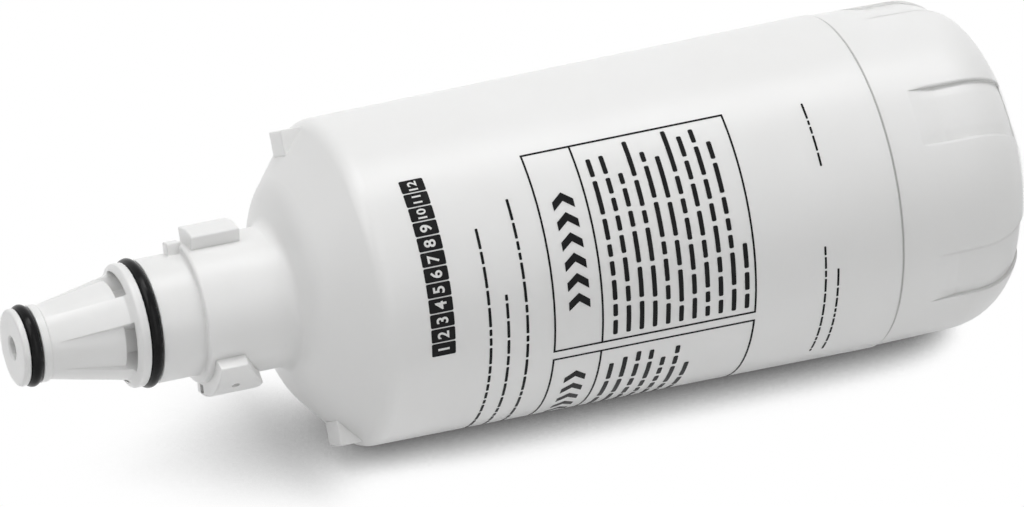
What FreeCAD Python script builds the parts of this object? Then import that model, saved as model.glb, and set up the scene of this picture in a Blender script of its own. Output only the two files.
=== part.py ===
import FreeCAD, Part

import math
import os

# Fridge water filter cartridge with a quarter-turn neck, standing on its end cap.
# Millimetres. +Z runs up the axis to the nozzle, and angles turn about +Z from +X.

# Shell: the tank and the cap that is spin-welded to its open end
WALL = 3.2
SEAM_Z = 34.9
SEAM_BEVEL = 0.3
EDGE_ROUND = 0.4
STEP_ROUND = 0.7
GROOVE_ROUND = 0.2
TANK_MOUTH_R = 38.3
TANK_RIM_R = 37.1
RIM_Z = 156.9
RIM_ROUND = 5.0
FLANK_DEG = 41.0
KNEE_R = 23.4
KNEE_ROUND = 14.0
CROWN_DEG = 15.0

# Neck
NECK_R = 15.9
NECK_ROOT_ROUND = 2.5
NECK_STEP_Z = 191.4
FRONT_NECK_R = 13.95
PASSAGE_R = 10.1
PASSAGE_TOP_Z = 200.8

# Neck gland and the flange in front of it
NECK_RING_Z = 202.8
NECK_RING_R = 14.6
NECK_RING_SECTION = 2.75
NECK_GLAND_WIDTH = 2.9
FLANGE_EDGE_Z = 206.2

# Nozzle
CONE_BASE_R = 11.85
CONE_BASE_Z = 207.6
CONE_TOP_R = 8.2
COLLAR_R = 8.7
COLLAR_Z = 225.5
NOZZLE_RING_Z = 228.93
NOZZLE_RING_R = 9.25
NOZZLE_RING_SECTION = 2.95
NOZZLE_GLAND_WIDTH = 3.1
TIP_Z = 232.0
TIP_ROUND = 0.7
OUTLET_R = 2.5
OUTLET_BEVEL = 0.4
GLAND_FLOOR_GAP = 0.05

# Ribs, flow channels and inlet windows round the nozzle
RIB_COUNT = 4
RIB_DEG = 17.0
RIB_WIDTH = 6.6
CHANNEL_DEPTH = 1.0
CHANNEL_TOP_Z = 223.7
WINDOW_TOP_Z = 209.0
WINDOW_R = 12.5
WINDOW_FLARE_Z = 204.0
WINDOW_MOUTH_Z = 206.4

# Outlet tube inside the neck, where the element's stem plugs in
TUBE_R = 8.0
TUBE_END_Z = 169.0
SOCKET_R = 6.0
SOCKET_TOP_Z = 210.5

# Bayonet lugs: a short plain one, and a wide one whose rear face has a cam ramp at its leading end
LUG_R = 19.2
LUG_FRONT_Z = 189.9
LUG_REAR_Z = 178.5
PLAIN_LUG_START_DEG = -33.0
PLAIN_LUG_END_DEG = -7.0
CAM_LUG_START_DEG = 157.0
CAM_LUG_END_DEG = 224.0
CAM_LEAD_REAR_Z = 183.6
RAMP_SPAN_DEG = 28.5
DETENT_DEG = 201.9
DETENT_Z = 185.5
DETENT_R = 0.9
DETENT_DEPTH = 1.2
CORE_POCKET_DEG = 166.5
CORE_POCKET_WIDTH = 2.2
CORE_POCKET_HEIGHT = 2.0
CORE_POCKET_R = 17.6
CORE_POCKET_DEPTH = 3.0

# Key pad across the neck step, and the two tabs on the shoulder rim
KEY_DEG = -14.0
KEY_WIDTH = 2.9
KEY_R = 16.6
KEY_REAR_Z = 191.0
KEY_FRONT_Z = 194.2
TAB_DEG = -1.5
TAB_COUNT = 2
TAB_WIDTH = 8.4
TAB_R = 35.6
TAB_FRONT_Z = 163.2

# End cap
CAP_WALL_R = 37.4
CAP_MOUTH_R = 38.0
CAP_ROUND = 15.6
TONGUE_R = 34.85
TONGUE_THICKNESS = 2.0
TONGUE_LOW_Z = 28.0
TONGUE_TOP_Z = 41.0
HUB_R = 8.0
HUB_TOP_Z = 10.0
RECESS_COUNT = 6
RECESS_DEG = 46.0
RECESS_WIDTH = 13.2
RECESS_DEPTH = 0.5
RECESS_START_Z = 27.7
RECESS_RAMP = 7.0
RECESS_END_R = 25.0
GATE_DIMPLE_R = 4.0
GATE_DIMPLE_DEPTH = 0.5

# Filter element
BLOCK_R = 29.0
CORE_R = 6.5
BLOCK_LOW_Z = 18.5
BLOCK_TOP_Z = 151.5
WRAP_THICKNESS = 1.5
ELEMENT_FIT = 0.1
ELEMENT_CAP_R = 32.4
ELEMENT_CAP_THICKNESS = 2.8
SKIRT_HEIGHT = 6.0
PLUG_HEIGHT = 5.0
STEM_R = 5.8
STEM_BORE_R = 2.8
STEM_TOP_Z = 205.5
STEM_FOOT_R = 12.0
STEM_FOOT_HEIGHT = 7.0
STEM_RING_Z = 197.5
STEM_RING_HEIGHT = 2.0
STEM_RING_ROUND = 0.8
STEM_GROOVE_R = 4.3
STEM_GROOVE_WIDTH = 2.6
SEAL_GAP = 0.02
SPIGOT_R = 5.0
SPIGOT_FIT = 0.2
FIN_COUNT = 4
FIN_R = 34.1
FIN_WIDTH = 2.0
FIN_LOW_Z = 20.0
FIN_TOP_Z = 24.5

# Cutting tools reach this far past the solid that they cut, and points this close count as one
REACH = 8.0
CLOSE = 0.001


def point(corner):
    """A corner's place in the XZ plane."""
    return FreeCAD.Vector(corner[0], 0, corner[1])


def rounding(corner):
    """A corner's rounding radius: its third value, or none."""
    return corner[2] if len(corner) > 2 else 0.0


def outline_edges(corners):
    """Edges round a closed list of (r, z) or (r, z, rounding) corners, with tangent arcs at rounded ones."""
    starts, ends, arcs = [], [], []
    for index, corner in enumerate(corners):
        here = point(corner)
        back = (point(corners[index - 1]) - here).normalize()
        ahead = (point(corners[(index + 1) % len(corners)]) - here).normalize()
        radius = rounding(corner)
        if radius:
            half = back.getAngle(ahead) / 2
            cut = radius / math.tan(half)
            centre = here + (back + ahead).normalize() * (radius / math.sin(half))
            middle = centre + (here - centre).normalize() * radius
            arcs.append(Part.Arc(here + back * cut, middle, here + ahead * cut).toShape())
            starts.append(here + back * cut)
            ends.append(here + ahead * cut)
        else:
            arcs.append(None)
            starts.append(here)
            ends.append(here)
    edges = []
    for index, arc in enumerate(arcs):
        if arc:
            edges.append(arc)
        following = starts[(index + 1) % len(corners)]
        if (following - ends[index]).Length > CLOSE:
            edges.append(Part.LineSegment(ends[index], following).toShape())
    return edges


def turned(corners, start_deg=0.0, sweep_deg=360.0):
    """Solid turned about the axis from its half outline."""
    face = Part.Face(Part.Wire(outline_edges(corners)))
    solid = face.revolve(FreeCAD.Vector(), FreeCAD.Vector(0, 0, 1), sweep_deg)
    return rotated(solid, start_deg)


def rotated(shape, degrees):
    """Copy of a shape turned about the axis."""
    turned_copy = shape.copy()
    turned_copy.rotate(FreeCAD.Vector(), FreeCAD.Vector(0, 0, 1), degrees)
    return turned_copy


def around(shape, count, first_deg=0.0):
    """Copies of a shape spaced evenly round the axis."""
    return [rotated(shape, first_deg + 360.0 / count * step) for step in range(count)]


def ring(inner_r, outer_r, low_z, top_z):
    """Plain tube on the axis."""
    return turned([(inner_r, low_z), (outer_r, low_z), (outer_r, top_z), (inner_r, top_z)])


def disc(radius, low_z, top_z):
    """Plain cylinder on the axis."""
    return Part.makeCylinder(radius, top_z - low_z, FreeCAD.Vector(0, 0, low_z))


def bar(near_r, far_r, width, low_z, top_z):
    """Block that stands out along +X, centred on the XZ plane."""
    corner = FreeCAD.Vector(near_r, -width / 2, low_z)
    return Part.makeBox(far_r - near_r, width, top_z - low_z, corner)


def torus(outer_r, section, z):
    """Rubber ring of round section."""
    return Part.makeTorus(outer_r - section / 2, section / 2, FreeCAD.Vector(0, 0, z))


def rounded(solid, on_face):
    """Solid with a rounding on each edge whose ends all lie on a face."""
    edges = [edge for edge in solid.Edges if all(on_face(vertex) for vertex in edge.Vertexes)]
    return solid.makeFillet(EDGE_ROUND, edges)


def inset(corners, depth):
    """Open outline moved inwards by a depth, with its outer roundings reduced by as much."""
    lines = []
    for here, following in zip(corners, corners[1:]):
        run = (point(following) - point(here)).normalize()
        inward = FreeCAD.Vector(-run.z, 0, run.x)
        lines.append((point(here) + inward * depth, run))
    moved = [(lines[0][0].x, lines[0][0].z)]
    for corner, (base, run), (next_base, next_run) in zip(corners[1:], lines, lines[1:]):
        turn = run.x * next_run.z - run.z * next_run.x
        gap = next_base - base
        along = (gap.x * next_run.z - gap.z * next_run.x) / turn
        meet = base + run * along
        radius = rounding(corner)
        kept = max(radius - math.copysign(depth, turn), 0.0) if radius else 0.0
        moved.append((meet.x, meet.z, kept))
    last_base, last_run = lines[-1]
    end = last_base + last_run * (point(corners[-1]) - point(corners[-2])).Length
    moved.append((end.x, end.z))
    return moved


def shell_outline():
    """Outside of the tank from its mouth over the shoulder to the neck step."""
    knee_z = RIM_Z + (TANK_RIM_R - KNEE_R) * math.tan(math.radians(FLANK_DEG))
    root_z = knee_z + (KNEE_R - NECK_R) * math.tan(math.radians(CROWN_DEG))
    return [
        (TANK_MOUTH_R, SEAM_Z),
        (TANK_RIM_R, RIM_Z, RIM_ROUND),
        (KNEE_R, knee_z, KNEE_ROUND),
        (NECK_R, root_z, NECK_ROOT_ROUND),
        (NECK_R, NECK_STEP_Z, STEP_ROUND),
    ]


def gland(outer_r, section, z, width, wall_r):
    """Corners of a seal groove, from its low wall to its high one."""
    floor_r = outer_r - section - GLAND_FLOOR_GAP
    low_z = z - width / 2
    top_z = z + width / 2
    corners = [(wall_r, low_z), (floor_r, low_z), (floor_r, top_z), (wall_r, top_z)]
    return [(r, corner_z, GROOVE_ROUND) for r, corner_z in corners]


def tank_outside():
    """Tank with its neck and nozzle as one turned solid, before anything is cut."""
    corners = [(0, SEAM_Z), (TANK_MOUTH_R - SEAM_BEVEL, SEAM_Z), (TANK_MOUTH_R, SEAM_Z + SEAM_BEVEL)]
    corners += shell_outline()[1:]
    corners.append((FRONT_NECK_R, NECK_STEP_Z, EDGE_ROUND))
    corners += gland(NECK_RING_R, NECK_RING_SECTION, NECK_RING_Z, NECK_GLAND_WIDTH, FRONT_NECK_R)
    corners += [(FRONT_NECK_R, FLANGE_EDGE_Z, EDGE_ROUND), (CONE_BASE_R, CONE_BASE_Z, EDGE_ROUND)]
    corners += [(CONE_TOP_R, COLLAR_Z, GROOVE_ROUND), (COLLAR_R, COLLAR_Z, GROOVE_ROUND)]
    corners += gland(NOZZLE_RING_R, NOZZLE_RING_SECTION, NOZZLE_RING_Z, NOZZLE_GLAND_WIDTH, COLLAR_R)
    corners += [(COLLAR_R, TIP_Z, TIP_ROUND), (0, TIP_Z)]
    return turned(corners)


def tank_inside():
    """Space inside the tank and the ring-shaped inlet passage round the outlet tube."""
    inner = inset(shell_outline(), WALL)
    neck_inner_r = NECK_R - WALL
    throat_z = NECK_STEP_Z - WALL
    corners = [(0, SEAM_Z)] + inner[:-1]
    corners += [(neck_inner_r, throat_z - (neck_inner_r - PASSAGE_R)), (PASSAGE_R, throat_z)]
    corners += [(PASSAGE_R, PASSAGE_TOP_Z), (TUBE_R, PASSAGE_TOP_Z), (TUBE_R, TUBE_END_Z), (0, TUBE_END_Z)]
    return turned(corners)


def outlet_bore():
    """Stem socket from below, narrowing to the outlet hole in the tip."""
    neck_in_z = SOCKET_TOP_Z + SOCKET_R - OUTLET_R
    return turned([
        (0, TUBE_END_Z - REACH),
        (SOCKET_R, TUBE_END_Z - REACH),
        (SOCKET_R, SOCKET_TOP_Z),
        (OUTLET_R, neck_in_z),
        (OUTLET_R, TIP_Z - OUTLET_BEVEL),
        (OUTLET_R + OUTLET_BEVEL, TIP_Z),
        (OUTLET_R + OUTLET_BEVEL, TIP_Z + REACH),
        (0, TIP_Z + REACH),
    ])


def nozzle_cuts():
    """Flow channels that run out up the cone and the inlet windows at its base, left uncut at the ribs."""
    taper = (CONE_BASE_R - CONE_TOP_R) / (COLLAR_Z - CONE_BASE_Z)
    channel = turned([
        (CONE_BASE_R - CHANNEL_DEPTH, CONE_BASE_Z),
        (CONE_BASE_R + REACH, CONE_BASE_Z),
        (CONE_BASE_R + REACH, CHANNEL_TOP_Z),
        (CONE_BASE_R - taper * (CHANNEL_TOP_Z - CONE_BASE_Z), CHANNEL_TOP_Z),
    ])
    window = turned([
        (TUBE_R, PASSAGE_TOP_Z),
        (PASSAGE_R, PASSAGE_TOP_Z),
        (PASSAGE_R, WINDOW_FLARE_Z),
        (WINDOW_R, WINDOW_MOUTH_Z),
        (WINDOW_R, WINDOW_TOP_Z),
        (TUBE_R, WINDOW_TOP_Z),
    ])
    rib = bar(0, CONE_BASE_R + 2 * REACH, RIB_WIDTH, PASSAGE_TOP_Z - REACH, COLLAR_Z + REACH)
    ribs = around(rib, RIB_COUNT, RIB_DEG)
    return [tool.cut(ribs) for tool in (channel, window)]


def lug_block(start_deg, end_deg):
    """Block that follows the neck round from one angle to another."""
    root_r = NECK_R - WALL / 2
    section = [(root_r, LUG_REAR_Z), (LUG_R, LUG_REAR_Z), (LUG_R, LUG_FRONT_Z), (root_r, LUG_FRONT_Z)]
    return turned(section, start_deg, end_deg - start_deg)


def rounded_lug(block):
    """Lug with the edges of its outer face rounded."""
    return rounded(block, lambda vertex: math.hypot(vertex.X, vertex.Y) > LUG_R - CLOSE)


def cam_lug():
    """The wide lug with its cam ramp, detent and cored front."""
    half_span = LUG_R * math.sin(math.radians(RAMP_SPAN_DEG / 2))
    rise = (CAM_LEAD_REAR_Z - LUG_REAR_Z) / (2 * half_span)
    lead = half_span + REACH
    ramp = [
        FreeCAD.Vector(0, -half_span, LUG_REAR_Z),
        FreeCAD.Vector(0, lead, CAM_LEAD_REAR_Z + rise * REACH),
        FreeCAD.Vector(0, lead, LUG_REAR_Z - REACH),
        FreeCAD.Vector(0, -half_span, LUG_REAR_Z - REACH),
    ]
    wedge = Part.Face(Part.makePolygon(ramp + ramp[:1])).extrude(FreeCAD.Vector(LUG_R + REACH, 0, 0))
    block = lug_block(CAM_LUG_START_DEG, CAM_LUG_END_DEG)
    ramped = rounded_lug(block.cut(rotated(wedge, CAM_LUG_END_DEG - RAMP_SPAN_DEG / 2)))

    detent = Part.makeCylinder(
        DETENT_R,
        DETENT_DEPTH + REACH,
        FreeCAD.Vector(LUG_R - DETENT_DEPTH, 0, DETENT_Z),
        FreeCAD.Vector(1, 0, 0),
    )
    pocket = bar(
        CORE_POCKET_R - CORE_POCKET_HEIGHT / 2,
        CORE_POCKET_R + CORE_POCKET_HEIGHT / 2,
        CORE_POCKET_WIDTH,
        LUG_FRONT_Z - CORE_POCKET_DEPTH,
        LUG_FRONT_Z + REACH,
    )
    return ramped.cut([rotated(detent, DETENT_DEG), rotated(pocket, CORE_POCKET_DEG)])


def tab():
    """One rim tab: a wedge on the flank with a level front face."""
    rise = math.tan(math.radians(FLANK_DEG))
    buried = WALL / 2 / math.cos(math.radians(FLANK_DEG))
    foot_z = RIM_Z + (TANK_RIM_R - TAB_R) * rise
    inner_r = TAB_R - (TAB_FRONT_Z - foot_z) / rise
    corners = [
        (TAB_R, foot_z - buried),
        (TAB_R, TAB_FRONT_Z),
        (inner_r, TAB_FRONT_Z),
        (inner_r, TAB_FRONT_Z - buried),
    ]
    face = Part.Face(Part.Wire(outline_edges(corners)))
    face.translate(FreeCAD.Vector(0, -TAB_WIDTH / 2, 0))
    wedge = face.extrude(FreeCAD.Vector(0, TAB_WIDTH, 0))
    return rounded(wedge, lambda vertex: vertex.Z > TAB_FRONT_Z - CLOSE)


def filter_tank():
    """The main moulding."""
    pad = bar(FRONT_NECK_R - WALL / 2, KEY_R, KEY_WIDTH, KEY_REAR_Z, KEY_FRONT_Z)
    key = rounded(pad, lambda vertex: vertex.X > KEY_R - CLOSE)
    plain_lug = rounded_lug(lug_block(PLAIN_LUG_START_DEG, PLAIN_LUG_END_DEG))
    raised = [plain_lug, cam_lug(), rotated(key, KEY_DEG)] + around(tab(), TAB_COUNT, TAB_DEG)
    return tank_outside().fuse(raised).cut([tank_inside(), outlet_bore()] + nozzle_cuts()).removeSplitter()


def end_cap():
    """Rounded cap with its weld tongue, element hub and grip recesses."""
    outline = [(0, 0), (CAP_WALL_R, 0, CAP_ROUND), (CAP_MOUTH_R, SEAM_Z)]
    bevelled = [(CAP_MOUTH_R, SEAM_Z - SEAM_BEVEL), (CAP_MOUTH_R - SEAM_BEVEL, SEAM_Z)]
    inner = inset(outline, WALL)
    shell = turned(outline[:2] + bevelled + [(0, SEAM_Z)]).cut(turned(inner + [(0, SEAM_Z)]))
    tongue = ring(TONGUE_R - TONGUE_THICKNESS, TONGUE_R, TONGUE_LOW_Z, TONGUE_TOP_Z)
    hub = ring(SPIGOT_R + SPIGOT_FIT, HUB_R, WALL / 2, HUB_TOP_Z)

    floor = inset(outline, RECESS_DEPTH)
    far_r = CAP_MOUTH_R + REACH
    band = turned([
        (0, RECESS_DEPTH),
        floor[1],
        (CAP_WALL_R - RECESS_DEPTH, RECESS_START_Z - RECESS_RAMP),
        (CAP_MOUTH_R, RECESS_START_Z),
        (far_r, RECESS_START_Z),
        (far_r, -REACH),
        (0, -REACH),
    ])
    slot = bar(RECESS_END_R, far_r, RECESS_WIDTH, -REACH, RECESS_START_Z)
    recesses = [band.common(each) for each in around(slot, RECESS_COUNT, RECESS_DEG)]
    dimple = disc(GATE_DIMPLE_R, 0, GATE_DIMPLE_DEPTH)
    return shell.fuse([tongue, hub]).cut(recesses + [dimple]).removeSplitter()


def element_cap_shell(seat_z, outward):
    """Disc with a skirt round the wrap and a plug in the core; outward is +1 above the block, -1 below."""
    def span(start, height):
        return sorted((seat_z + outward * start, seat_z + outward * (start + height)))

    wrap_r = BLOCK_R + WRAP_THICKNESS
    plate = disc(ELEMENT_CAP_R, *span(0, ELEMENT_CAP_THICKNESS))
    skirt = ring(wrap_r + ELEMENT_FIT, ELEMENT_CAP_R, *span(-SKIRT_HEIGHT, SKIRT_HEIGHT))
    plug = disc(CORE_R - ELEMENT_FIT, *span(-PLUG_HEIGHT, PLUG_HEIGHT))
    return plate.fuse([skirt, plug])


def element_top_cap():
    """Top cap with the outlet stem."""
    plate_z = BLOCK_TOP_Z + ELEMENT_CAP_THICKNESS
    groove_low_z = STEM_RING_Z - STEM_GROOVE_WIDTH / 2
    groove_top_z = STEM_RING_Z + STEM_GROOVE_WIDTH / 2
    stem = turned([
        (0, plate_z),
        (STEM_FOOT_R, plate_z),
        (STEM_R, plate_z + STEM_FOOT_HEIGHT, STEM_FOOT_HEIGHT),
        (STEM_R, groove_low_z),
        (STEM_GROOVE_R, groove_low_z),
        (STEM_GROOVE_R, groove_top_z),
        (STEM_R, groove_top_z),
        (STEM_R, STEM_TOP_Z, STEM_RING_ROUND),
        (0, STEM_TOP_Z),
    ])
    bore = disc(STEM_BORE_R, BLOCK_TOP_Z - PLUG_HEIGHT, STEM_TOP_Z)
    return element_cap_shell(BLOCK_TOP_Z, 1).fuse(stem).cut(bore).removeSplitter()


def element_bottom_cap():
    """Closed bottom cap with its centring fins and the spigot that stands in the end cap's hub."""
    spigot = disc(SPIGOT_R, WALL, BLOCK_LOW_Z - ELEMENT_CAP_THICKNESS)
    fin = bar(ELEMENT_CAP_R - WALL / 2, FIN_R, FIN_WIDTH, FIN_LOW_Z, FIN_TOP_Z)
    return element_cap_shell(BLOCK_LOW_Z, -1).fuse([spigot] + around(fin, FIN_COUNT)).removeSplitter()


def stem_o_ring():
    """Ring pressed between the stem's groove and the socket."""
    low_z = STEM_RING_Z - STEM_RING_HEIGHT / 2
    top_z = STEM_RING_Z + STEM_RING_HEIGHT / 2
    inner_r = STEM_GROOVE_R + SEAL_GAP
    outer_r = SOCKET_R - SEAL_GAP
    return turned([
        (inner_r, low_z, STEM_RING_ROUND),
        (outer_r, low_z, STEM_RING_ROUND),
        (outer_r, top_z, STEM_RING_ROUND),
        (inner_r, top_z, STEM_RING_ROUND),
    ])


NODES = {
    "filter_tank": filter_tank(),
    "end_cap": end_cap(),
    "neck_o_ring": torus(NECK_RING_R, NECK_RING_SECTION, NECK_RING_Z),
    "nozzle_o_ring": torus(NOZZLE_RING_R, NOZZLE_RING_SECTION, NOZZLE_RING_Z),
    "carbon_block": ring(CORE_R, BLOCK_R, BLOCK_LOW_Z, BLOCK_TOP_Z),
    "prefilter_wrap": ring(BLOCK_R, BLOCK_R + WRAP_THICKNESS, BLOCK_LOW_Z, BLOCK_TOP_Z),
    "element_top_cap": element_top_cap(),
    "element_bottom_cap": element_bottom_cap(),
    "stem_o_ring": stem_o_ring(),
}

os.makedirs("parts", exist_ok=True)
for name, shape in NODES.items():
    solid = shape.Solids[0]
    solid.exportStep(f"parts/{name}.step")
    millilitres = round(solid.Volume / 1000, 2)
    print(name, "valid", solid.isValid(), "solids", len(shape.Solids), "volume", millilitres, "ml")
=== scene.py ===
import math
import random

import bmesh
import bpy
from mathutils import Matrix, Vector


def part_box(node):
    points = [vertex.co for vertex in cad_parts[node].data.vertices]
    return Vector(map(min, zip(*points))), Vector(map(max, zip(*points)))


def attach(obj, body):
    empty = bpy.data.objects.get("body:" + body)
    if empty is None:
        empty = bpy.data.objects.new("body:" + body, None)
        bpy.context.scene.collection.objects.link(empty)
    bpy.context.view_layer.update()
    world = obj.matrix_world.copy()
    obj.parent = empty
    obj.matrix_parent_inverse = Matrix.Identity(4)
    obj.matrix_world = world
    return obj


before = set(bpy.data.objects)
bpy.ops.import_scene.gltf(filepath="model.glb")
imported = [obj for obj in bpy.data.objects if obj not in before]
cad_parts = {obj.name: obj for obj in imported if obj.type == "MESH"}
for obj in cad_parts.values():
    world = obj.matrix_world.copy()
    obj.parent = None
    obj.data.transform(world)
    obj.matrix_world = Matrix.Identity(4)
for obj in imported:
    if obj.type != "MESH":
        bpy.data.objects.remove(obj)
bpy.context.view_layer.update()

# Carbon block
# A hollow log of activated-carbon grains, pressed with a binder and baked. It sits sealed in the tank,
# and water passes through its wall from outside to core.
CARBON_GRAIN_SIZE = 0.0006
CARBON_DUST_SIZE = 0.004
CARBON_ROUGH = 0.0003
CARBON_BLACK = (0.012, 0.012, 0.013, 1)
CARBON_DUST = (0.055, 0.054, 0.052, 1)


class Wire:
    """A shader socket: sums on it add Math nodes, and node() adds any other kind of node."""

    def __init__(self, tree, socket=None):
        self.tree = tree
        self.socket = socket

    def node(self, kind, settings=None, inputs=None, output=0):
        made = self.tree.nodes.new(kind)
        for name, value in (settings or {}).items():
            setattr(made, name, value)
        for name, value in (inputs or {}).items():
            if isinstance(value, Wire):
                self.tree.links.new(value.socket, made.inputs[name])
            else:
                made.inputs[name].default_value = value
        return Wire(self.tree, made.outputs[output] if made.outputs else None)

    def sum(self, operation, *values):
        return self.node("ShaderNodeMath", {"operation": operation}, dict(enumerate(values)))

    def __add__(self, other):
        return self.sum("ADD", self, other)

    def __sub__(self, other):
        return self.sum("SUBTRACT", self, other)

    def __rsub__(self, other):
        return self.sum("SUBTRACT", other, self)

    def __mul__(self, other):
        return self.sum("MULTIPLY", self, other)

    __radd__ = __add__
    __rmul__ = __mul__

    def smooth_step(self, low, high):
        """0 below low, 1 above high and a smooth rise between them."""
        inputs = {"Value": self, "From Min": low, "From Max": high}
        return self.node("ShaderNodeMapRange", {"interpolation_type": "SMOOTHSTEP"}, inputs)

    def colour(self, at_zero, at_one):
        """Colour that goes from one to the other as this value goes from 0 to 1."""
        return self.node("ShaderNodeMix", {"data_type": "RGBA"}, {0: self, 6: at_zero, 7: at_one}, 2)

    def noise(self, size, detail=2.0):
        """Soft noise with features of about this size in metres, on these coordinates."""
        inputs = {"Vector": self, "Scale": 1 / size, "Detail": detail}
        return self.node("ShaderNodeTexNoise", inputs=inputs)

    def bump(self, height, depth, strength=1.0):
        """Normal from a height of 0 to 1 over a depth in metres, on top of this normal."""
        inputs = {"Height": height, "Distance": depth, "Strength": strength, "Normal": self}
        return self.node("ShaderNodeBump", inputs=inputs)


def new_finish(name):
    """Empty material, with its Object coordinates to build on."""
    material = bpy.data.materials.new(name)
    material.use_nodes = True
    material.node_tree.nodes.clear()
    place = Wire(material.node_tree).node("ShaderNodeTexCoord", output="Object")
    return material, place


def coat(place, **sockets):
    """Principled shader on the material's output."""
    inputs = {name.replace("_", " "): value for name, value in sockets.items()}
    shader = place.node("ShaderNodeBsdfPrincipled", inputs=inputs)
    place.node("ShaderNodeOutputMaterial", inputs={"Surface": shader})


def edge_normal(place, radius):
    """Normal that turns over the part's sharp edges as if they had this radius."""
    return place.node("ShaderNodeBevel", {"samples": 8}, {"Radius": radius})


def dress(node_name, material):
    """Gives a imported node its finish."""
    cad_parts[node_name].data.materials.clear()
    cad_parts[node_name].data.materials.append(material)


carbon, place = new_finish("pressed_carbon")
grains = place.node("ShaderNodeTexVoronoi", inputs={"Vector": place, "Scale": 1 / CARBON_GRAIN_SIZE})
dust = place.noise(CARBON_DUST_SIZE, 4).smooth_step(0.45, 0.75) * (1 - grains)
coat(
    place,
    Base_Color=dust.colour(CARBON_BLACK, CARBON_DUST),
    Roughness=0.75 + 0.2 * grains,
    Normal=edge_normal(place, CARBON_ROUGH).bump(1 - grains, CARBON_ROUGH),
)
dress("carbon_block", carbon)

# Prefilter wrap
# A sleeve of white nonwoven fleece rolled round the block, which stops grit before it reaches the carbon.
# Fine bonded fibres lie every way, with a few longer ones along the roll.
FIBRE_SIZE = 0.0005
TUFT_SIZE = 0.0011
FLEECE_NAP = 0.0004
FIBRE_STRETCH = (1, 1, 0.15)
FLEECE_WHITE = (0.80, 0.80, 0.77, 1)
FLEECE_GREY = (0.62, 0.62, 0.60, 1)

fleece, place = new_finish("nonwoven_fleece")
along = place.node("ShaderNodeMapping", inputs={"Vector": place, "Scale": FIBRE_STRETCH})
fibres = along.noise(FIBRE_SIZE, 5) * 0.6 + place.noise(TUFT_SIZE, 4) * 0.4
coat(
    place,
    Base_Color=fibres.smooth_step(0.35, 0.6).colour(FLEECE_GREY, FLEECE_WHITE),
    Roughness=0.85 + 0.1 * fibres,
    Sheen_Weight=0.3,
    Normal=edge_normal(place, FLEECE_NAP).bump(fibres, FLEECE_NAP),
)
dress("prefilter_wrap", fleece)

# Element caps
# Two natural polypropylene mouldings bonded over the ends of the block. The top one carries the outlet
# stem that plugs into the nozzle, the bottom one a spigot that stands in the end cap's hub.
NATURAL_CLOUD_SIZE = 0.012
NATURAL_GRAIN_SIZE = 0.0005
NATURAL_GRAIN_DEPTH = 0.00002
NATURAL_EDGE = 0.0003
NATURAL_MILKY = (0.72, 0.72, 0.69, 1)
NATURAL_CLEAR = (0.60, 0.60, 0.57, 1)

natural, place = new_finish("natural_polypropylene")
cloud = place.noise(NATURAL_CLOUD_SIZE, 3)
coat(
    place,
    Base_Color=cloud.smooth_step(0.3, 0.7).colour(NATURAL_CLEAR, NATURAL_MILKY),
    Roughness=0.38 + 0.14 * cloud,
    Subsurface_Weight=0.2,
    Subsurface_Scale=0.002,
    Normal=edge_normal(place, NATURAL_EDGE).bump(place.noise(NATURAL_GRAIN_SIZE), NATURAL_GRAIN_DEPTH),
)
dress("element_top_cap", natural)
dress("element_bottom_cap", natural)

# Seal rings
# Black rubber O-rings: one on the element's stem, one in the neck gland and one in the nozzle gland.
# They are cured in a polished mould and leave the works with a thin film of silicone grease.
BLOOM_SIZE = 0.0025
RUBBER_SKIN_FINE = 0.0004
RUBBER_SKIN_COARSE = 0.0018
RUBBER_SKIN_DEPTH = 0.00003
RUBBER_BLACK = (0.004, 0.004, 0.0042, 1)
RUBBER_BLOOM = (0.009, 0.009, 0.0092, 1)

rubber, place = new_finish("greased_rubber")
bloom = place.noise(BLOOM_SIZE, 4).smooth_step(0.4, 0.75)
skin = place.noise(RUBBER_SKIN_FINE, 3) * 0.5 + place.noise(RUBBER_SKIN_COARSE) * 0.5
coat(
    place,
    Base_Color=bloom.colour(RUBBER_BLACK, RUBBER_BLOOM),
    Roughness=0.12 + 0.14 * bloom,
    Specular_IOR_Level=0.13,
    Normal=place.node("ShaderNodeNewGeometry", output="Normal").bump(skin, RUBBER_SKIN_DEPTH),
)
for ring_name in ("stem_o_ring", "neck_o_ring", "nozzle_o_ring"):
    dress(ring_name, rubber)

# Tank and end cap
# Two white polypropylene mouldings, spin-welded at the seam once the element is inside. The mould's
# spark-eroded skin leaves a fine even grain and the grip recesses have soft lips. The colour carries
# painted shade along the weld seam's groove and in creases.
PLASTIC_WHITE = (0.86, 0.86, 0.855, 1)
PLASTIC_SHADE = (0.845, 0.845, 0.838, 1)
PAINTED_CREVICE_SHADE = (0.79, 0.79, 0.78, 1)
PAINTED_SEAM_SHADE = (0.58, 0.58, 0.57, 1)
WELD_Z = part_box("filter_tank")[0].z
SEAM_SHADE_WIDTH = 0.0005
MOULD_EDGE = 0.00035
CLOUD_SIZE = 0.035
CREVICE_REACH = 0.0016
GRAIN_SIZE = 0.00035
GRAIN_DEPTH = 0.000006
PARTING_LINE = 0.00008
PARTING_DEPTH = 0.00006
PARTING_FADE = 0.002
PARTING_FROM = 0.168
NO_PARTING = 1.0
LIP_TURN = math.radians(46)
LIP_PITCH = math.radians(60)
LIP_SIDE = 0.0066
LIP_ROUND = 0.0006
LIP_FADE = 0.003
LIP_DROP = 0.0002
LIP_TOP = 0.0272
LIP_START = 0.005


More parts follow.
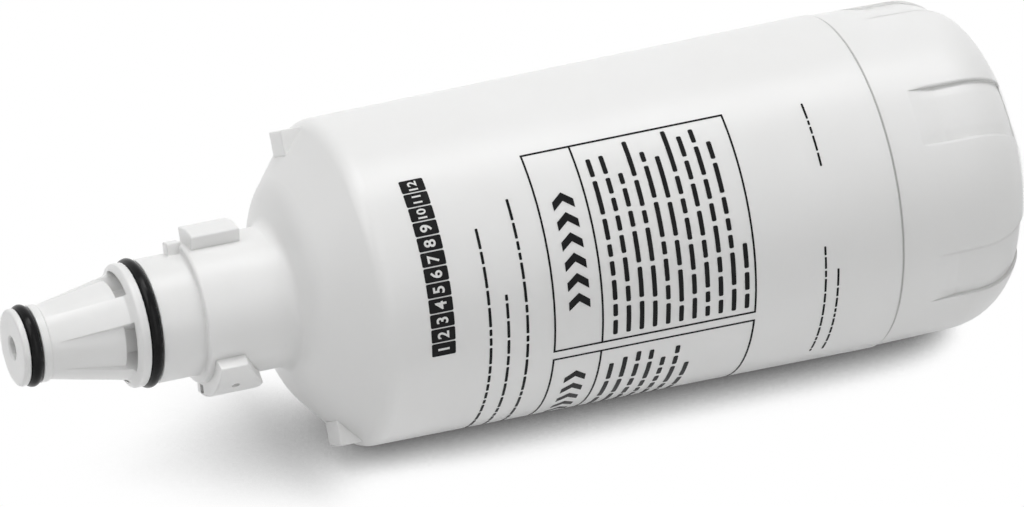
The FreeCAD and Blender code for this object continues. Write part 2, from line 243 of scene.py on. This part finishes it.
def white_polypropylene(name, split_from):
    """White moulded plastic; its parting line shows on the sides above a height."""
    material, place = new_finish(name)
    cloud = place.noise(CLOUD_SIZE, 3)
    x, y, z = (place.node("ShaderNodeSeparateXYZ", inputs={"Vector": place}, output=axis) for axis in "XYZ")
    off_plane = y.sum("ABSOLUTE", y)
    above = z.smooth_step(split_from, split_from + PARTING_FADE)
    parting = (1 - off_plane.smooth_step(0, PARTING_LINE)) * above
    # Painted shade: a thin dark line along the weld seam's groove.
    off_weld = z.sum("ABSOLUTE", z - WELD_Z)
    painted_seam_line = 1 - off_weld.smooth_step(0.3 * SEAM_SHADE_WIDTH, SEAM_SHADE_WIDTH)
    # Painted shade: the colour darkens in creases and recesses where ambient occlusion finds the part close
    # by.
    painted_crevice_mask = place.node(
        "ShaderNodeAmbientOcclusion",
        {"samples": 6, "only_local": True},
        {"Distance": CREVICE_REACH},
        "AO",
    )
    turn = x.sum("WRAP", x.sum("ARCTAN2", y, x) - LIP_TURN, LIP_PITCH / 2, -LIP_PITCH / 2)
    reach = x.sum("SQRT", x * x + y * y)
    side = x.sum("ABSOLUTE", reach * x.sum("SINE", turn)) - LIP_SIDE
    lip = (
        side.smooth_step(-LIP_FADE, 0)
        * (1 - side.smooth_step(0, LIP_ROUND))
        * (1 - z.smooth_step(LIP_TOP - LIP_START, LIP_TOP))
    )
    body = cloud.smooth_step(0.3, 0.7).colour(PLASTIC_SHADE, PLASTIC_WHITE)
    with_painted_shade = painted_crevice_mask.smooth_step(0.25, 0.9).colour(PAINTED_CREVICE_SHADE, body)
    lipped = edge_normal(place, MOULD_EDGE).bump(1 - lip, LIP_DROP)
    grained = lipped.bump(place.noise(GRAIN_SIZE), GRAIN_DEPTH)
    coat(
        place,
        Base_Color=painted_seam_line.colour(with_painted_shade, PAINTED_SEAM_SHADE),
        Roughness=0.285 + 0.05 * cloud,
        Subsurface_Weight=0.3,
        Subsurface_Radius=(1, 1, 1),
        Subsurface_Scale=0.002,
        Normal=grained.bump(parting, PARTING_DEPTH),
    )
    return material


dress("filter_tank", white_polypropylene("tank_polypropylene", PARTING_FROM))
dress("end_cap", white_polypropylene("cap_polypropylene", NO_PARTING))

# Print
# Pad-printed ink on the tank's side: a strip of month boxes to mark when the filter was fitted, ruled
# panels of plain bars, and arrow heads for the turning direction. The marks follow the drafted wall.
MM = 0.001
MOUTH_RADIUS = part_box("filter_tank")[1].x
RIM_RADIUS = 37.1 * MM
RIM_Z = 156.9 * MM
ARTWORK_RADIUS = 37.7
WRAP_STEP = 1.0
INK_FILM = 0.02
INK_SUNK = 0.03
INK_PATCH_SIZE = 0.003
INK_GRAIN_SIZE = 0.0004
INK_GRAIN_DEPTH = 0.00001
INK_BLACK = (0.005, 0.005, 0.0055, 1)
INK_THIN = (0.018, 0.018, 0.019, 1)
INK_WHITE = (0.80, 0.80, 0.79, 1)
INK_WHITE_THIN = (0.70, 0.70, 0.69, 1)


def wall_radius(z):
    """Outside radius of the drafted wall at a height."""
    return MOUTH_RADIUS + (RIM_RADIUS - MOUTH_RADIUS) * (z - WELD_Z) / (RIM_Z - WELD_Z)


def across(degrees):
    """Place in the flat artwork, in millimetres, of an angle round the wall from the print's middle."""
    return math.radians(degrees) * ARTWORK_RADIUS


def bar(art, left, right, low, top, corner=0.0):
    """Bar in the flat artwork, whose X runs round the wall and Y up it, in millimetres."""
    middle = ((left + right) / 2, (low + top) / 2, 0)
    stretch = Matrix.Diagonal(((right - left) / 2, (top - low) / 2, 1, 1))
    steps = max(1, math.ceil((right - left) / WRAP_STEP))
    placed = Matrix.Translation(middle) @ stretch
    made = bmesh.ops.create_grid(art, x_segments=steps, y_segments=1, size=1, matrix=placed)
    if corner:
        corners = [vert for vert in made["verts"] if len(vert.link_edges) == 2]
        bmesh.ops.bevel(
            art, geom=corners, offset=corner, affect="VERTICES", segments=3, profile=0.5, material=-1
        )


BAR_SHORT = 2.2
BAR_LONG = 7.5
BAR_LEFTOVER = 3
BAR_GAP = 0.9
BAR_CORNER = 0.3


def bar_row(art, left, right, middle, height, lengths):
    """Row of bars of uneven length, in bar heights, with even gaps, cut off at the row's end."""
    while left < right:
        length = lengths.uniform(BAR_SHORT, BAR_LONG) * height
        if right - left - length < BAR_LEFTOVER * height:
            length = right - left
        bar(art, left, left + length, middle - height / 2, middle + height / 2, BAR_CORNER * height)
        left += length + BAR_GAP * height


def panel_frame(art, left, right, low, top, divider, line):
    """Ruled rectangle with a level divider."""
    for level in (low, divider, top - line):
        bar(art, left, right, level, level + line)
    for side in (left, right - line):
        bar(art, side, side + line, low + line, divider)
        bar(art, side, side + line, divider + line, top - line)


CHEVRON_START = 0.3
CHEVRON_HALF = 0.22
CHEVRON_POINT = 0.42


def arrow_heads(art, left, right, low, top, count):
    """Row of chevrons that point to the right, with their shape in parts of their pitch."""
    pitch = (right - left) / count
    for index in range(count):
        middle = (left + (index + CHEVRON_START) * pitch, (low + top) / 2, 0)
        half = (top - low) / 2
        placed = Matrix.Translation(middle) @ Matrix.Diagonal((CHEVRON_HALF * pitch, half, 1, 1))
        made = bmesh.ops.create_grid(art, x_segments=3, y_segments=6, size=1, matrix=placed)
        for vert in made["verts"]:
            vert.co.x += CHEVRON_POINT * pitch * (1 - abs(vert.co.y - middle[1]) / half)


FACE_SCALE = 0.73
FACE_THICKENING = 0.03


def numeral(art, number, middle, height):
    """Number in the flat artwork, drawn in the plain built-in face and thickened."""
    face = bpy.data.curves.new("numeral", "FONT")
    face.body = str(number)
    face.size = height / FACE_SCALE
    face.offset = FACE_THICKENING * height
    face.resolution_u = 4
    holder = bpy.data.objects.new("numeral", face)
    flat = bpy.data.meshes.new_from_object(holder)
    spans = [[vert.co[axis] for vert in flat.vertices] for axis in (0, 1)]
    shift = [middle[axis] - (min(span) + max(span)) / 2 for axis, span in enumerate(spans)]
    flat.transform(Matrix.Translation((*shift, 0)))
    art.from_mesh(flat)
    bpy.data.meshes.remove(flat)
    bpy.data.objects.remove(holder)
    bpy.data.curves.remove(face)


def print_piece(art, name, ink, film):
    """Gives the flat artwork its film, wraps it on the wall and lets it ride on the cartridge."""
    bmesh.ops.recalc_face_normals(art, faces=art.faces)
    bmesh.ops.reverse_faces(art, faces=[face for face in art.faces if face.normal.z < 0])
    raised = bmesh.ops.extrude_face_region(art, geom=art.faces[:], use_keep_orig=True)
    top = [item for item in raised["geom"] if isinstance(item, bmesh.types.BMVert)]
    bmesh.ops.translate(art, verts=top, vec=(0, 0, film + INK_SUNK))
    bmesh.ops.recalc_face_normals(art, faces=art.faces)
    for vert in art.verts:
        distance, height, lift = vert.co
        angle = distance / ARTWORK_RADIUS
        radius = wall_radius(height * MM) + (lift - INK_SUNK) * MM
        vert.co = (radius * math.sin(angle), -radius * math.cos(angle), height * MM)
    mesh = bpy.data.meshes.new(name)
    art.to_mesh(mesh)
    art.free()
    mesh.shade_smooth()
    mesh.set_sharp_from_angle(angle=math.radians(30))
    mesh.materials.append(ink)
    piece = bpy.data.objects.new(name, mesh)
    bpy.context.scene.collection.objects.link(piece)
    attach(piece, "root")


def printing_ink(name, full, thin):
    """Matt ink that thins out in places."""
    material, place = new_finish(name)
    smooth = place.node("ShaderNodeNewGeometry", output="Normal")
    thinned = place.noise(INK_PATCH_SIZE, 5).smooth_step(0.5, 0.85)
    coat(
        place,
        Base_Color=thinned.colour(full, thin),
        Roughness=0.42 + 0.2 * thinned,
        Specular_IOR_Level=0.14,
        Normal=smooth.bump(place.noise(INK_GRAIN_SIZE), INK_GRAIN_DEPTH),
    )
    return material


black_ink = printing_ink("black_ink", INK_BLACK, INK_THIN)
white_ink = printing_ink("white_ink", INK_WHITE, INK_WHITE_THIN)

STRIP_LEFT = across(-33.1)
STRIP_RIGHT = across(30.5)
STRIP_LOW = 141.8
STRIP_TOP = 147.4
MONTHS = 12
MONTH_GAP = 0.3
MONTH_CORNER = 0.35
ONE_DIGIT_HEIGHT = 2.7
TWO_DIGIT_HEIGHT = 2.1
month_pitch = (STRIP_RIGHT - STRIP_LEFT + MONTH_GAP) / MONTHS
strip = bmesh.new()
numbers = bmesh.new()
for month in range(MONTHS):
    month_left = STRIP_LEFT + month * month_pitch
    month_right = month_left + month_pitch - MONTH_GAP
    bar(strip, month_left, month_right, STRIP_LOW, STRIP_TOP, MONTH_CORNER)
    month_height = ONE_DIGIT_HEIGHT if month < 9 else TWO_DIGIT_HEIGHT
    month_middle = ((month_left + month_right) / 2, (STRIP_LOW + STRIP_TOP) / 2)
    numeral(numbers, month + 1, month_middle, month_height)
print_piece(strip, "month_strip", black_ink, INK_FILM)
print_piece(numbers, "month_numbers", white_ink, 2 * INK_FILM)

PANEL_LOW = 70.3
PANEL_TOP = 118.6
PANEL_DIVIDER = 106.8
PANEL_LINE = 0.46
FRONT_PANEL = (across(-41.2), across(31.2))
SIDE_PANEL = (across(-116.6), across(-44.2))
FRONT_ARROWS = (across(-26.5), across(15.4))
SIDE_ARROWS = (across(-93.5), across(-51.6))
ARROWS_LOW = 109.9
ARROWS_TOP = 114.9
ARROW_COUNT = 6
panels = bmesh.new()
for panel_left, panel_right in (FRONT_PANEL, SIDE_PANEL):
    panel_frame(panels, panel_left, panel_right, PANEL_LOW, PANEL_TOP, PANEL_DIVIDER, PANEL_LINE)
for arrows_left, arrows_right in (FRONT_ARROWS, SIDE_ARROWS):
    arrow_heads(panels, arrows_left, arrows_right, ARROWS_LOW, ARROWS_TOP, ARROW_COUNT)
print_piece(panels, "panel_frames", black_ink, INK_FILM)

ROW_TOP = 104.0
ROW_PITCH = 3.14
ROW_HEIGHT = 1.1
FRONT_ROW_START = -38.5
FRONT_ROW_ENDS = (24.6, 24.9, 17.4, 28.4, 23.3, 20.7, 29.3, 26.2, 27.9, 22.2, -14.3)
SIDE_ROW_START = -113.9
SIDE_ROW_ENDS = (-52, -50, -48.5, -49, -54, -49.5, -60)
NOTE_HEIGHT = 0.65
NOTE_LINES = ((-100, 8.5, 133.5), (-100, -15.5, 129.3), (-100, 16.4, 124.8))
CODE_HEIGHT = 0.5
CODE_LINES = ((6, 29, 51.7), (-71, -21, 53.7), (-71, -30, 50.7))
lengths = random.Random(4)
rows = bmesh.new()
for row_start, row_ends in ((FRONT_ROW_START, FRONT_ROW_ENDS), (SIDE_ROW_START, SIDE_ROW_ENDS)):
    for index, row_end in enumerate(row_ends):
        level = ROW_TOP - index * ROW_PITCH
        bar_row(rows, across(row_start), across(row_end), level, ROW_HEIGHT, lengths)
for lines, line_height in ((NOTE_LINES, NOTE_HEIGHT), (CODE_LINES, CODE_HEIGHT)):
    for row_start, row_end, level in lines:
        bar_row(rows, across(row_start), across(row_end), level, line_height, lengths)
print_piece(rows, "panel_rows", black_ink, INK_FILM)

# Studio
# A white floor under the part and a white backdrop beside it, which the lying part in the photograph has
# beneath it. Soft lamps stand round the part, and the camera is turned on its side.
STUDIO_SIZE = 4.0
STUDIO_WHITE = (0.8, 0.8, 0.8, 1)
PURE_WHITE = (1, 1, 1, 1)
AMBIENT = 0.03
LYING_UP_DEG = 57.6
PART_MIDDLE = Vector((0, 0, 0.116))
LAMP_DISTANCE = 1.2
SHADOW_FALL = 1.55
FLOOR_REACH = 0.06
FLOOR_LIT_SIDE_DEG = 25
FLOOR_SPAN = (-0.026, -0.008)
FLOOR_GAINS = (2.4, 40)
BACKDROP_REACH = 0.4
BACKDROP_SPAN = (0.140, 0.172)
BACKDROP_GAINS = (3.2, 1.6)


def facing(degrees):
    """Level direction at an angle from the camera's side of the part towards the key pad's side."""
    return Vector((math.sin(math.radians(degrees)), -math.cos(math.radians(degrees)), 0))


def seen_rays(wire):
    """1 on rays that are to see plain white, and 0 on the ones that carry light to the part."""
    kinds = ("Is Camera Ray", "Is Glossy Ray", "Is Transmission Ray")
    direct, mirrored, passed = (wire.node("ShaderNodeLightPath", output=kind) for kind in kinds)
    return direct + mirrored + passed


def studio_paint(name, reach, direction, span, gains):
    """White paint, clear from behind, that shows white except for a painted shadow of the part.

    The painted shadow is drawn from ambient occlusion of what is within reach, not cast by the lamps. Its
    gain goes from one value to the other over a span along a direction, and a high gain leaves little
    painted shadow.
    """
    material, place = new_finish(name)
    matt = place.node("ShaderNodeBsdfDiffuse", inputs={"Color": STUDIO_WHITE})
    white = place.node("ShaderNodeEmission", inputs={"Color": PURE_WHITE, "Strength": 1.0})
    dark = place.node("ShaderNodeEmission", inputs={"Color": (0, 0, 0, 1), "Strength": 0.0})
    dot = {"operation": "DOT_PRODUCT"}
    along = place.node("ShaderNodeVectorMath", dot, {0: place, 1: direction}, "Value")
    gain = gains[0] + (gains[1] - gains[0]) * along.smooth_step(*span)
    # Painted shadow: the white emission fades to black where ambient occlusion finds the part near.
    open_sky = place.node("ShaderNodeAmbientOcclusion", {"samples": 24}, {"Distance": reach}, "AO")
    light = place.sum("POWER", open_sky * gain, SHADOW_FALL)
    with_painted_shade = place.node("ShaderNodeMixShader", inputs={0: light, 1: dark, 2: white})
    shown = place.node("ShaderNodeMixShader", inputs={0: seen_rays(place), 1: matt, 2: with_painted_shade})
    behind = place.node("ShaderNodeNewGeometry", output="Backfacing")
    clear = place.node("ShaderNodeBsdfTransparent")
    one_sided = place.node("ShaderNodeMixShader", inputs={0: behind, 1: shown, 2: clear})
    place.node("ShaderNodeOutputMaterial", inputs={"Surface": one_sided})
    return material


def studio_plane(name, placed, paint):
    """Large square of the studio, which stops no lamp behind it."""
    plane = bmesh.new()
    bmesh.ops.create_grid(plane, x_segments=1, y_segments=1, size=STUDIO_SIZE, matrix=placed)
    mesh = bpy.data.meshes.new(name)
    plane.to_mesh(mesh)
    plane.free()
    mesh.materials.append(paint)
    stage = bpy.data.objects.new(name, mesh)
    stage.visible_shadow = False
    bpy.context.scene.collection.objects.link(stage)


floor_paint = studio_paint(
    "floor_paint", FLOOR_REACH, facing(FLOOR_LIT_SIDE_DEG), FLOOR_SPAN, FLOOR_GAINS
)
studio_plane("studio_floor", Matrix.Identity(4), floor_paint)
lying_up = facing(LYING_UP_DEG)
upright = lying_up.to_track_quat("Z", "Y").to_matrix().to_4x4()
beneath = Matrix.Translation(lying_up * -MOUTH_RADIUS + Vector((0, 0, STUDIO_SIZE))) @ upright
backdrop_paint = studio_paint(
    "backdrop_paint", BACKDROP_REACH, Vector((0, 0, 1)), BACKDROP_SPAN, BACKDROP_GAINS
)
studio_plane("backdrop", beneath, backdrop_paint)

sky = bpy.data.worlds.new("pale_sky")
sky.use_nodes = True
sky.node_tree.nodes.clear()
air = Wire(sky.node_tree)
ambient = air.node("ShaderNodeBackground", inputs={"Color": PURE_WHITE, "Strength": AMBIENT})
white = air.node("ShaderNodeBackground", inputs={"Color": PURE_WHITE, "Strength": 1.0})
shown = air.node("ShaderNodeMixShader", inputs={0: seen_rays(air), 1: ambient, 2: white})
air.node("ShaderNodeOutputWorld", inputs={"Surface": shown})
bpy.context.scene.world = sky


def soft_box(name, degrees, lift, width, length, power):
    """Soft lamp that looks at the part's middle from an angle round it and an angle above the level."""
    side = facing(degrees) * math.cos(math.radians(lift)) + Vector((0, 0, math.sin(math.radians(lift))))
    light = bpy.data.lights.new(name, "AREA")
    light.shape = "RECTANGLE"
    light.size = width
    light.size_y = length
    light.energy = power
    lamp = bpy.data.objects.new(name, light)
    lamp.location = PART_MIDDLE + side * LAMP_DISTANCE
    lamp.rotation_euler = side.to_track_quat("Z", "Y").to_euler()
    lamp.visible_camera = False
    bpy.context.scene.collection.objects.link(lamp)


soft_box("key", 66, -6, 0.44, 1.4, 8.2)
soft_box("front_fill", -2, -6, 1.3, 1.4, 4.5)
soft_box("end_light", 60, 43, 0.8, 0.8, 4.6)
soft_box("back_fill", 187, -6, 1.2, 1.4, 10.5)

PHOTO_WIDTH = 1024
FOCAL_PX = 10500
PX_PER_METRE = 4475
CAMERA_ELEVATION = math.radians(18.6)
CAMERA_ROLL = math.radians(11.46)
AIM = Vector((0, 0, 0.11368))
AIM_DROP = 0.00142
back = Vector((0, -math.cos(CAMERA_ELEVATION), math.sin(CAMERA_ELEVATION)))
level_right = Vector((0, -math.sin(CAMERA_ELEVATION), -math.cos(CAMERA_ELEVATION)))
level_up = Vector((1, 0, 0))
right = level_right * math.cos(CAMERA_ROLL) - level_up * math.sin(CAMERA_ROLL)
up = level_right * math.sin(CAMERA_ROLL) + level_up * math.cos(CAMERA_ROLL)
camera_data = bpy.data.cameras.new("photo_camera")
camera_data.sensor_width = 36
camera_data.lens = FOCAL_PX / PHOTO_WIDTH * camera_data.sensor_width
camera_data.clip_end = 100
camera = bpy.data.objects.new("photo_camera", camera_data)
stand = Matrix.Translation(AIM - up * AIM_DROP + back * FOCAL_PX / PX_PER_METRE)
camera.matrix_world = stand @ Matrix((right, up, back)).transposed().to_4x4()
bpy.context.scene.collection.objects.link(camera)
bpy.context.scene.camera = camera
bpy.context.scene.view_settings.view_transform = "Standard"
